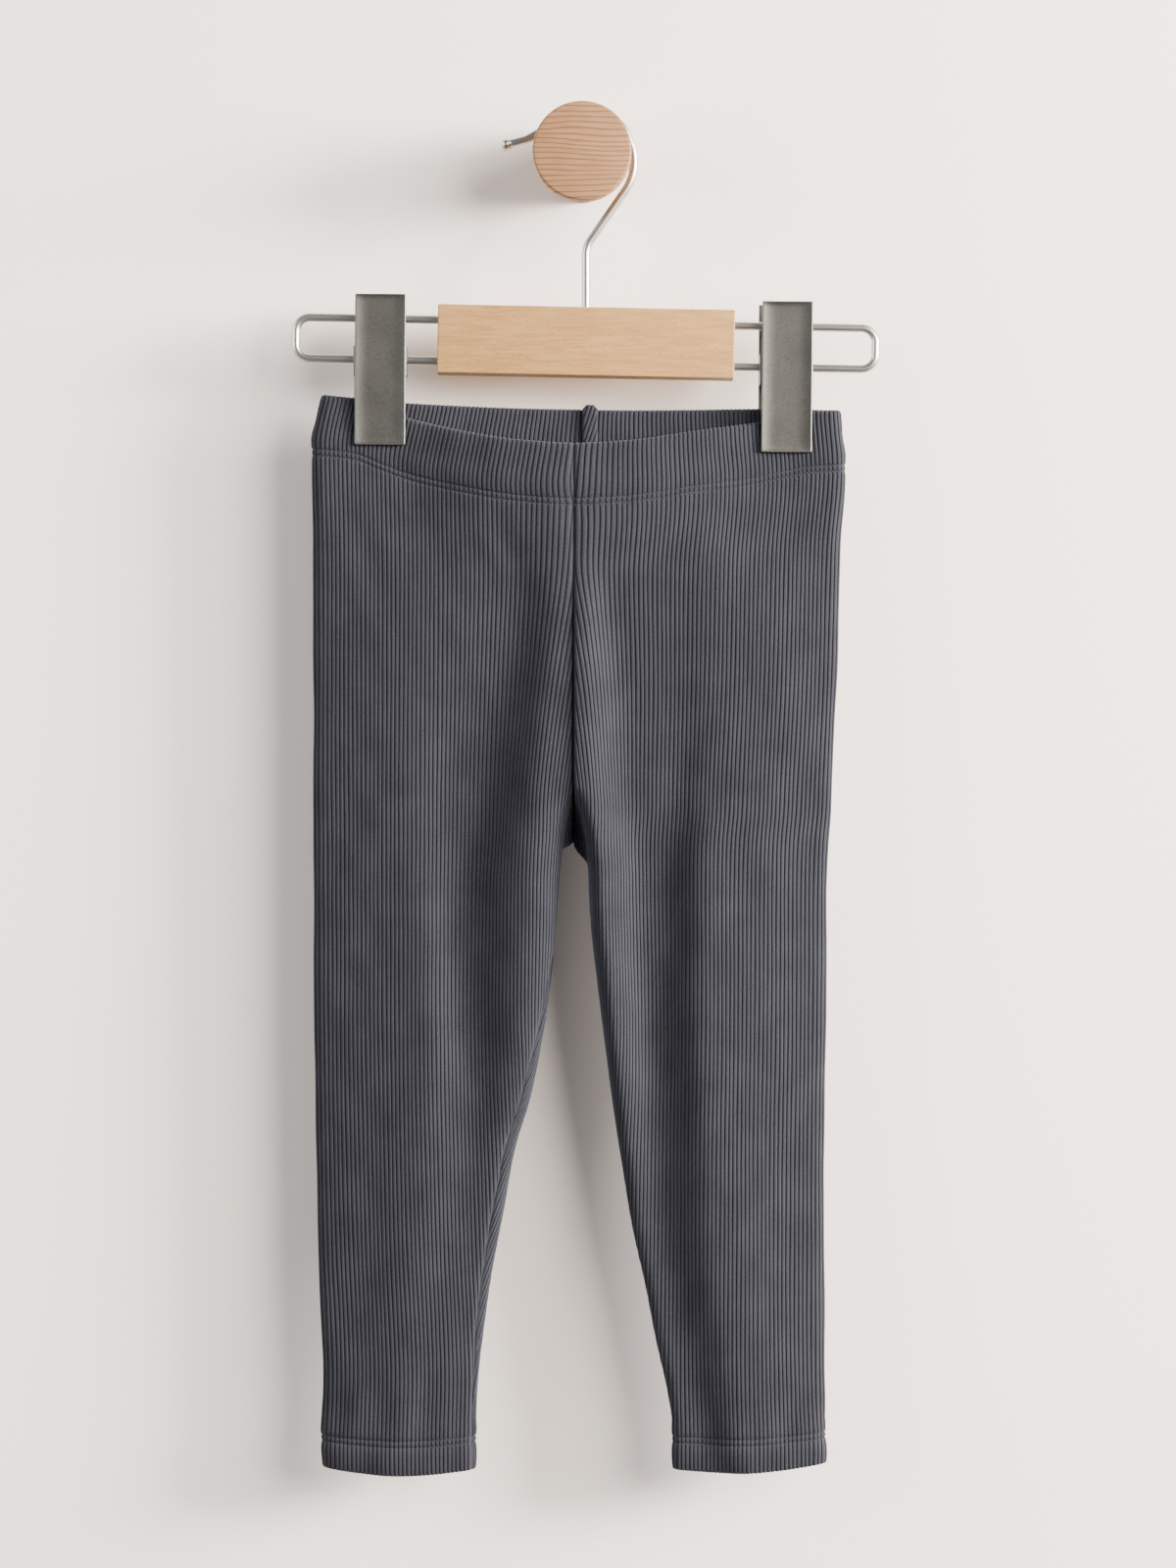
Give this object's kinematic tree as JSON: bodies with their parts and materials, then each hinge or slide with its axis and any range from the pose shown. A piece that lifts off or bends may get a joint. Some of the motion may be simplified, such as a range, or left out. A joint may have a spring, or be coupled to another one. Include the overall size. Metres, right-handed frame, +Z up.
{
  "type": "leggings on clip hanger with wall peg",
  "caption": "Child's rib-knit leggings with an elastic waist, pinched at the waist by the clips of a wire and wood hanger whose hook rests on a round wall peg.",
  "frame": {"origin": "centre of the wall peg's flat back face, on the wall", "axes": "+Z up, along the garment's length; +Y into the wall, so the garment's front faces -Y; +X to the wearer's left"},
  "size_m": [0.27, 0.05, 0.6271],
  "materials": {
    "rib_knit": "fine rib knit, charcoal grey, matt with a soft nap",
    "beech": "bare beech, fine grain, sanded smooth",
    "peg_wood": "bare wood, growth rings across the end face",
    "nickel_wire": "satin nickel plated wire",
    "clip_steel": "satin pewter plate with bright edges"
  },
  "bodies": {
    "root": {"right_leg": "rib_knit", "left_leg": "rib_knit", "waistband_right": "rib_knit", "waistband_left": "rib_knit", "back_seam_turning": "rib_knit", "hem_right": "rib_knit", "hem_left": "rib_knit", "hanger_block": "beech", "frame_wire_right": "nickel_wire", "frame_wire_left": "nickel_wire", "hook_wire": "nickel_wire", "hook_tip": "nickel_wire", "clip_right_front": "clip_steel", "clip_right_back": "clip_steel", "clip_right_bracket": "clip_steel", "clip_left_front": "clip_steel", "clip_left_back": "clip_steel", "clip_left_bracket": "clip_steel", "wall_peg": "peg_wood"}
  },
  "joints": []
}
